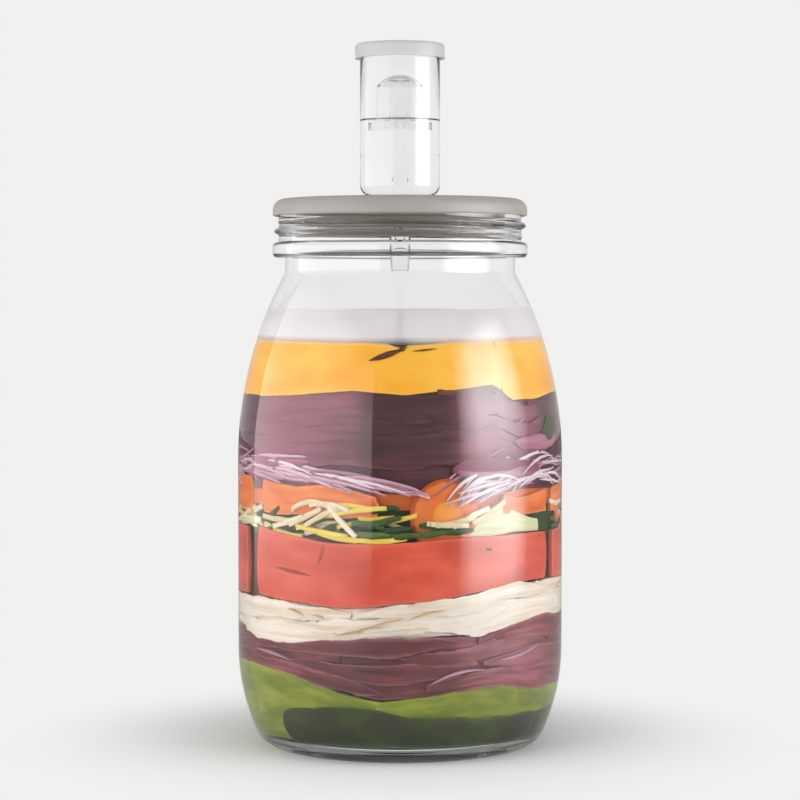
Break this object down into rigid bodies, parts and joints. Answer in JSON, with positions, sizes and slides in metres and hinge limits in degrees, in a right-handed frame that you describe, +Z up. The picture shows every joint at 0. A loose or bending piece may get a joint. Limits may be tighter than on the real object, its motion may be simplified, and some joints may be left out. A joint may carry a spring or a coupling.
{
  "type": "fermentation jar with airlock",
  "caption": "Three litre glass fermentation jar packed with layered vegetables in brine under ceramic stones, closed by a silicone lid with a three-piece water airlock.",
  "frame": {"origin": "centre of the ring that the glass stands on, at the surface it rests on", "axes": "+Z up along the jar's axis, -Y the front, +X to the right seen from the front"},
  "size_m": [0.148, 0.148, 0.319],
  "materials": {
    "clear_glass": "polished",
    "silicone": "satin",
    "clear_plastic": "gloss",
    "water": "polished",
    "ceramic": "satin",
    "brine": "polished",
    "green_pepper": "gloss",
    "red_cabbage": "gloss",
    "white_cabbage": "gloss",
    "red_pepper": "gloss",
    "mixed_greens": "gloss",
    "carrot": "gloss",
    "red_onion": "gloss",
    "purple_cabbage": "gloss",
    "yellow_pepper": "gloss"
  },
  "bodies": {
    "jar": {"glass_jar": "clear_glass", "stone_left": "ceramic", "stone_right": "ceramic", "brine": "brine", "green_pepper_layer": "green_pepper", "red_cabbage_layer": "red_cabbage", "white_cabbage_layer": "white_cabbage", "red_pepper_layer": "red_pepper", "mixed_greens_layer": "mixed_greens", "carrot_layer": "carrot", "red_onion_layer": "red_onion", "purple_cabbage_layer": "purple_cabbage", "yellow_pepper_layer": "yellow_pepper"},
    "lid": {"silicone_lid": "silicone"},
    "airlock": {"airlock_body": "clear_plastic", "airlock_water": "water"},
    "float": {"airlock_float": "clear_plastic"},
    "cap": {"airlock_cap": "clear_plastic"}
  },
  "joints": [
    {"name": "lid_lift", "type": "slide", "parent": "jar", "child": "lid", "axis": [0, 0, 1], "range_m": [0, 0.05]},
    {"name": "airlock_pull", "type": "slide", "parent": "lid", "child": "airlock", "axis": [0, 0, 1], "range_m": [0, 0.04]},
    {"name": "float_rise", "type": "slide", "parent": "airlock", "child": "float", "axis": [0, 0, 1], "range_m": [0, 0.013]},
    {"name": "cap_lift", "type": "slide", "parent": "airlock", "child": "cap", "axis": [0, 0, 1], "range_m": [0, 0.03]}
  ]
}
